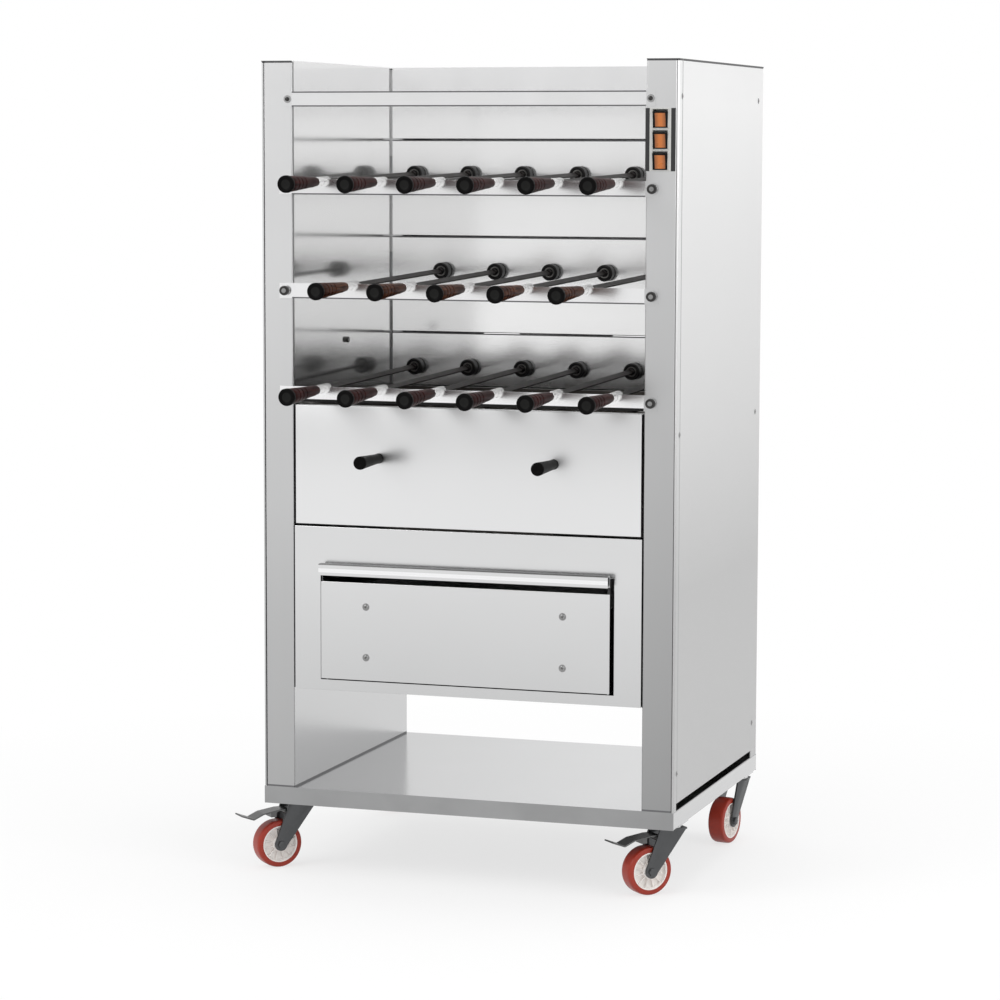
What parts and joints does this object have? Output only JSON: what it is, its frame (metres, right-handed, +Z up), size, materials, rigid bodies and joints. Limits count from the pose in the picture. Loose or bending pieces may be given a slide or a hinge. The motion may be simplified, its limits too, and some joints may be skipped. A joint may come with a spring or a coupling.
{
  "type": "electric skewer grill",
  "caption": "Upright stainless electric skewer grill on castors, with rows of turning skewers over a firebox, a lift-off heater cover, a drip drawer and an open shelf.",
  "frame": {"origin": "on the floor, under the centre of the cabinet's width and depth, where the castors stand", "axes": "+X to the right as seen from the front, +Y from the front to the back, +Z up"},
  "size_m": [0.7678, 0.7552, 1.349],
  "materials": {
    "stainless_sheet": "bright stainless sheet with soft vertical reflections",
    "polished_rails": "polished stainless strip",
    "heater_cover": "bright stainless sheet; the two grips are black phenolic",
    "blued_steel": "heat-darkened sheet steel",
    "heater_tube": "dull oxidised heater sheath",
    "drive_parts": "plain zinc-plated steel",
    "switch_frame": "light frame with dark edge strips",
    "rocker": "translucent-looking orange rocker",
    "castor_steel": "grey zinc-plated pressing",
    "castor_tread": "red-orange tread on a cream hub",
    "spindle_steel": "dark machined steel",
    "skewer": "varnished maroon-brown wood with a black knob; the blade and ferrule are steel"
  },
  "bodies": {
    "cabinet": {"base_frame": "stainless_sheet", "side_columns": "stainless_sheet", "side_panels": "stainless_sheet", "back_wall": "stainless_sheet", "rear_cover": "stainless_sheet", "skewer_rails": "polished_rails", "front_panel": "stainless_sheet", "firebox": "blued_steel", "heating_elements": "heater_tube", "drive_unit": "drive_parts", "switch_plate": "switch_frame"},
    "drawer": {"drawer": "stainless_sheet"},
    "heater_cover": {"heater_cover": "heater_cover"},
    "upper_switch": {"upper_switch": "rocker"},
    "middle_switch": {"middle_switch": "rocker"},
    "lower_switch": {"lower_switch": "rocker"},
    "front_left_castor_fork": {"front_left_castor_fork": "castor_steel"},
    "front_left_castor_wheel": {"front_left_castor_wheel": "castor_tread"},
    "front_left_castor_brake": {"front_left_castor_brake": "castor_steel"},
    "front_right_castor_fork": {"front_right_castor_fork": "castor_steel"},
    "front_right_castor_wheel": {"front_right_castor_wheel": "castor_tread"},
    "front_right_castor_brake": {"front_right_castor_brake": "castor_steel"},
    "rear_left_castor_fork": {"rear_left_castor_fork": "castor_steel"},
    "rear_left_castor_wheel": {"rear_left_castor_wheel": "castor_tread"},
    "rear_right_castor_fork": {"rear_right_castor_fork": "castor_steel"},
    "rear_right_castor_wheel": {"rear_right_castor_wheel": "castor_tread"},
    "bottom_spindle_1": {"bottom_spindle_1": "spindle_steel"},
    "bottom_skewer_1": {"bottom_skewer_1": "skewer"},
    "bottom_spindle_2": {"bottom_spindle_2": "spindle_steel"},
    "bottom_skewer_2": {"bottom_skewer_2": "skewer"},
    "bottom_spindle_3": {"bottom_spindle_3": "spindle_steel"},
    "bottom_skewer_3": {"bottom_skewer_3": "skewer"},
    "bottom_spindle_4": {"bottom_spindle_4": "spindle_steel"},
    "bottom_skewer_4": {"bottom_skewer_4": "skewer"},
    "bottom_spindle_5": {"bottom_spindle_5": "spindle_steel"},
    "bottom_skewer_5": {"bottom_skewer_5": "skewer"},
    "bottom_spindle_6": {"bottom_spindle_6": "spindle_steel"},
    "bottom_skewer_6": {"bottom_skewer_6": "skewer"},
    "middle_spindle_1": {"middle_spindle_1": "spindle_steel"},
    "middle_skewer_1": {"middle_skewer_1": "skewer"},
    "middle_spindle_2": {"middle_spindle_2": "spindle_steel"},
    "middle_skewer_2": {"middle_skewer_2": "skewer"},
    "middle_spindle_3": {"middle_spindle_3": "spindle_steel"},
    "middle_skewer_3": {"middle_skewer_3": "skewer"},
    "middle_spindle_4": {"middle_spindle_4": "spindle_steel"},
    "middle_skewer_4": {"middle_skewer_4": "skewer"},
    "middle_spindle_5": {"middle_spindle_5": "spindle_steel"},
    "middle_skewer_5": {"middle_skewer_5": "skewer"},
    "top_spindle_1": {"top_spindle_1": "spindle_steel"},
    "top_skewer_1": {"top_skewer_1": "skewer"},
    "top_spindle_2": {"top_spindle_2": "spindle_steel"},
    "top_skewer_2": {"top_skewer_2": "skewer"},
    "top_spindle_3": {"top_spindle_3": "spindle_steel"},
    "top_skewer_3": {"top_skewer_3": "skewer"},
    "top_spindle_4": {"top_spindle_4": "spindle_steel"},
    "top_skewer_4": {"top_skewer_4": "skewer"},
    "top_spindle_5": {"top_spindle_5": "spindle_steel"},
    "top_skewer_5": {"top_skewer_5": "skewer"},
    "top_spindle_6": {"top_spindle_6": "spindle_steel"},
    "top_skewer_6": {"top_skewer_6": "skewer"}
  },
  "joints": [
    {"name": "drawer_slide", "type": "slide", "parent": "cabinet", "child": "drawer", "axis": [0, -1, 0], "range_m": [0, 0.4]},
    {"name": "heater_cover_lift_out", "type": "slide", "parent": "cabinet", "child": "heater_cover", "axis": [0, -1, 0], "range_m": [0, 0.3]},
    {"name": "upper_switch_rock", "type": "hinge", "parent": "cabinet", "child": "upper_switch", "pos_m": [0.3235, -0.272, 1.255], "axis": [1, 0, 0], "range_deg": [-20, 0]},
    {"name": "middle_switch_rock", "type": "hinge", "parent": "cabinet", "child": "middle_switch", "pos_m": [0.3235, -0.272, 1.222], "axis": [1, 0, 0], "range_deg": [-20, 0]},
    {"name": "lower_switch_rock", "type": "hinge", "parent": "cabinet", "child": "lower_switch", "pos_m": [0.3235, -0.272, 1.189], "axis": [1, 0, 0], "range_deg": [-20, 0]},
    {"name": "front_left_castor_swivel", "type": "hinge", "parent": "cabinet", "child": "front_left_castor_fork", "pos_m": [-0.324, -0.198, 0.105], "axis": [0, 0, 1], "continuous": true},
    {"name": "front_left_wheel_roll", "type": "hinge", "parent": "front_left_castor_fork", "child": "front_left_castor_wheel", "pos_m": [-0.35228, -0.22628, 0.04], "axis": [0.7071, -0.7071, 0], "continuous": true},
    {"name": "front_left_brake_press", "type": "hinge", "parent": "front_left_castor_fork", "child": "front_left_castor_brake", "pos_m": [-0.34238, -0.21638, 0.0945], "axis": [0.7071, -0.7071, 0], "range_deg": [0, 14]},
    {"name": "front_right_castor_swivel", "type": "hinge", "parent": "cabinet", "child": "front_right_castor_fork", "pos_m": [0.324, -0.198, 0.105], "axis": [0, 0, 1], "continuous": true},
    {"name": "front_right_wheel_roll", "type": "hinge", "parent": "front_right_castor_fork", "child": "front_right_castor_wheel", "pos_m": [0.29572, -0.22628, 0.04], "axis": [0.7071, -0.7071, 0], "continuous": true},
    {"name": "front_right_brake_press", "type": "hinge", "parent": "front_right_castor_fork", "child": "front_right_castor_brake", "pos_m": [0.30562, -0.21638, 0.0945], "axis": [0.7071, -0.7071, 0], "range_deg": [0, 14]},
    {"name": "rear_left_castor_swivel", "type": "hinge", "parent": "cabinet", "child": "rear_left_castor_fork", "pos_m": [-0.324, 0.244, 0.105], "axis": [0, 0, 1], "continuous": true},
    {"name": "rear_left_wheel_roll", "type": "hinge", "parent": "rear_left_castor_fork", "child": "rear_left_castor_wheel", "pos_m": [-0.324, 0.284, 0.04], "axis": [-1, 0, 0], "continuous": true},
    {"name": "rear_right_castor_swivel", "type": "hinge", "parent": "cabinet", "child": "rear_right_castor_fork", "pos_m": [0.324, 0.244, 0.105], "axis": [0, 0, 1], "continuous": true},
    {"name": "rear_right_wheel_roll", "type": "hinge", "parent": "rear_right_castor_fork", "child": "rear_right_castor_wheel", "pos_m": [0.31637, 0.20474, 0.04], "axis": [0.9816, -0.1908, 0], "continuous": true},
    {"name": "bottom_spindle_1_turn", "type": "hinge", "parent": "cabinet", "child": "bottom_spindle_1", "pos_m": [-0.25, 0.1989, 0.82445], "axis": [0, 0.9998, 0.0209], "continuous": true},
    {"name": "bottom_skewer_1_pull_out", "type": "slide", "parent": "bottom_spindle_1", "child": "bottom_skewer_1", "axis": [0, -0.9998, -0.0209], "range_m": [0, 0.5]},
    {"name": "bottom_spindle_2_turn", "type": "hinge", "parent": "cabinet", "child": "bottom_spindle_2", "pos_m": [-0.15, 0.1989, 0.82445], "axis": [0, 0.9998, 0.0209], "continuous": true},
    {"name": "bottom_skewer_2_pull_out", "type": "slide", "parent": "bottom_spindle_2", "child": "bottom_skewer_2", "axis": [0, -0.9998, -0.0209], "range_m": [0, 0.5]},
    {"name": "bottom_spindle_3_turn", "type": "hinge", "parent": "cabinet", "child": "bottom_spindle_3", "pos_m": [-0.05, 0.1989, 0.82445], "axis": [0, 0.9998, 0.0209], "continuous": true},
    {"name": "bottom_skewer_3_pull_out", "type": "slide", "parent": "bottom_spindle_3", "child": "bottom_skewer_3", "axis": [0, -0.9998, -0.0209], "range_m": [0, 0.5]},
    {"name": "bottom_spindle_4_turn", "type": "hinge", "parent": "cabinet", "child": "bottom_spindle_4", "pos_m": [0.05, 0.1989, 0.82445], "axis": [0, 0.9998, 0.0209], "continuous": true},
    {"name": "bottom_skewer_4_pull_out", "type": "slide", "parent": "bottom_spindle_4", "child": "bottom_skewer_4", "axis": [0, -0.9998, -0.0209], "range_m": [0, 0.5]},
    {"name": "bottom_spindle_5_turn", "type": "hinge", "parent": "cabinet", "child": "bottom_spindle_5", "pos_m": [0.15, 0.1989, 0.82445], "axis": [0, 0.9998, 0.0209], "continuous": true},
    {"name": "bottom_skewer_5_pull_out", "type": "slide", "parent": "bottom_spindle_5", "child": "bottom_skewer_5", "axis": [0, -0.9998, -0.0209], "range_m": [0, 0.5]},
    {"name": "bottom_spindle_6_turn", "type": "hinge", "parent": "cabinet", "child": "bottom_spindle_6", "pos_m": [0.25, 0.1989, 0.82445], "axis": [0, 0.9998, 0.0209], "continuous": true},
    {"name": "bottom_skewer_6_pull_out", "type": "slide", "parent": "bottom_spindle_6", "child": "bottom_skewer_6", "axis": [0, -0.9998, -0.0209], "range_m": [0, 0.5]},
    {"name": "middle_spindle_1_turn", "type": "hinge", "parent": "cabinet", "child": "middle_spindle_1", "pos_m": [-0.2, 0.1989, 0.99395], "axis": [0, 0.9998, 0.0209], "continuous": true},
    {"name": "middle_skewer_1_pull_out", "type": "slide", "parent": "middle_spindle_1", "child": "middle_skewer_1", "axis": [0, -0.9998, -0.0209], "range_m": [0, 0.5]},
    {"name": "middle_spindle_2_turn", "type": "hinge", "parent": "cabinet", "child": "middle_spindle_2", "pos_m": [-0.1, 0.1989, 0.99395], "axis": [0, 0.9998, 0.0209], "continuous": true},
    {"name": "middle_skewer_2_pull_out", "type": "slide", "parent": "middle_spindle_2", "child": "middle_skewer_2", "axis": [0, -0.9998, -0.0209], "range_m": [0, 0.5]},
    {"name": "middle_spindle_3_turn", "type": "hinge", "parent": "cabinet", "child": "middle_spindle_3", "pos_m": [0, 0.1989, 0.99395], "axis": [0, 0.9998, 0.0209], "continuous": true},
    {"name": "middle_skewer_3_pull_out", "type": "slide", "parent": "middle_spindle_3", "child": "middle_skewer_3", "axis": [0, -0.9998, -0.0209], "range_m": [0, 0.5]},
    {"name": "middle_spindle_4_turn", "type": "hinge", "parent": "cabinet", "child": "middle_spindle_4", "pos_m": [0.1, 0.1989, 0.99395], "axis": [0, 0.9998, 0.0209], "continuous": true},
    {"name": "middle_skewer_4_pull_out", "type": "slide", "parent": "middle_spindle_4", "child": "middle_skewer_4", "axis": [0, -0.9998, -0.0209], "range_m": [0, 0.5]},
    {"name": "middle_spindle_5_turn", "type": "hinge", "parent": "cabinet", "child": "middle_spindle_5", "pos_m": [0.2, 0.1989, 0.99395], "axis": [0, 0.9998, 0.0209], "continuous": true},
    {"name": "middle_skewer_5_pull_out", "type": "slide", "parent": "middle_spindle_5", "child": "middle_skewer_5", "axis": [0, -0.9998, -0.0209], "range_m": [0, 0.5]},
    {"name": "top_spindle_1_turn", "type": "hinge", "parent": "cabinet", "child": "top_spindle_1", "pos_m": [-0.25, 0.1989, 1.16345], "axis": [0, 0.9998, 0.0209], "continuous": true},
    {"name": "top_skewer_1_pull_out", "type": "slide", "parent": "top_spindle_1", "child": "top_skewer_1", "axis": [0, -0.9998, -0.0209], "range_m": [0, 0.5]},
    {"name": "top_spindle_2_turn", "type": "hinge", "parent": "cabinet", "child": "top_spindle_2", "pos_m": [-0.15, 0.1989, 1.16345], "axis": [0, 0.9998, 0.0209], "continuous": true},
    {"name": "top_skewer_2_pull_out", "type": "slide", "parent": "top_spindle_2", "child": "top_skewer_2", "axis": [0, -0.9998, -0.0209], "range_m": [0, 0.5]},
    {"name": "top_spindle_3_turn", "type": "hinge", "parent": "cabinet", "child": "top_spindle_3", "pos_m": [-0.05, 0.1989, 1.16345], "axis": [0, 0.9998, 0.0209], "continuous": true},
    {"name": "top_skewer_3_pull_out", "type": "slide", "parent": "top_spindle_3", "child": "top_skewer_3", "axis": [0, -0.9998, -0.0209], "range_m": [0, 0.5]},
    {"name": "top_spindle_4_turn", "type": "hinge", "parent": "cabinet", "child": "top_spindle_4", "pos_m": [0.05, 0.1989, 1.16345], "axis": [0, 0.9998, 0.0209], "continuous": true},
    {"name": "top_skewer_4_pull_out", "type": "slide", "parent": "top_spindle_4", "child": "top_skewer_4", "axis": [0, -0.9998, -0.0209], "range_m": [0, 0.5]},
    {"name": "top_spindle_5_turn", "type": "hinge", "parent": "cabinet", "child": "top_spindle_5", "pos_m": [0.15, 0.1989, 1.16345], "axis": [0, 0.9998, 0.0209], "continuous": true},
    {"name": "top_skewer_5_pull_out", "type": "slide", "parent": "top_spindle_5", "child": "top_skewer_5", "axis": [0, -0.9998, -0.0209], "range_m": [0, 0.5]},
    {"name": "top_spindle_6_turn", "type": "hinge", "parent": "cabinet", "child": "top_spindle_6", "pos_m": [0.25, 0.1989, 1.16345], "axis": [0, 0.9998, 0.0209], "continuous": true},
    {"name": "top_skewer_6_pull_out", "type": "slide", "parent": "top_spindle_6", "child": "top_skewer_6", "axis": [0, -0.9998, -0.0209], "range_m": [0, 0.5]}
  ],
  "couplings": [
    {"joint": "bottom_spindle_2_turn", "follows": "bottom_spindle_1_turn", "ratio": 1},
    {"joint": "bottom_spindle_3_turn", "follows": "bottom_spindle_1_turn", "ratio": 1},
    {"joint": "bottom_spindle_4_turn", "follows": "bottom_spindle_1_turn", "ratio": 1},
    {"joint": "bottom_spindle_5_turn", "follows": "bottom_spindle_1_turn", "ratio": 1},
    {"joint": "bottom_spindle_6_turn", "follows": "bottom_spindle_1_turn", "ratio": 1},
    {"joint": "middle_spindle_2_turn", "follows": "middle_spindle_1_turn", "ratio": 1},
    {"joint": "middle_spindle_3_turn", "follows": "middle_spindle_1_turn", "ratio": 1},
    {"joint": "middle_spindle_4_turn", "follows": "middle_spindle_1_turn", "ratio": 1},
    {"joint": "middle_spindle_5_turn", "follows": "middle_spindle_1_turn", "ratio": 1},
    {"joint": "top_spindle_2_turn", "follows": "top_spindle_1_turn", "ratio": 1},
    {"joint": "top_spindle_3_turn", "follows": "top_spindle_1_turn", "ratio": 1},
    {"joint": "top_spindle_4_turn", "follows": "top_spindle_1_turn", "ratio": 1},
    {"joint": "top_spindle_5_turn", "follows": "top_spindle_1_turn", "ratio": 1},
    {"joint": "top_spindle_6_turn", "follows": "top_spindle_1_turn", "ratio": 1}
  ]
}
